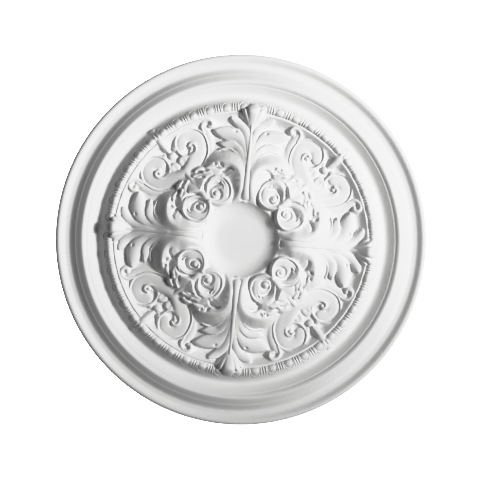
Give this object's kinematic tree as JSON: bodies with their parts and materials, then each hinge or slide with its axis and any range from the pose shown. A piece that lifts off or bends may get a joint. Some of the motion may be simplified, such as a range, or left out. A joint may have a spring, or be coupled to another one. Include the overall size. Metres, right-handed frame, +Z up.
{
  "type": "ceiling rose",
  "caption": "Round moulded ceiling rose with acanthus leaves, scrolls, an egg-and-dart ring and a recessed centre that seats a lamp canopy.",
  "frame": {"origin": "centre of the flat back, on the plane of the ceiling or wall it is fixed to", "axes": "+Y into the surface behind the rose, -Y the way the carved face looks, +Z up as in the picture, two leaves along X and two along Z"},
  "size_m": [0.6, 0.0549, 0.6],
  "materials": {
    "cast_white": "matte white primer on a cast foam body"
  },
  "bodies": {
    "root": {"ceiling_rose": "cast_white"}
  },
  "joints": []
}
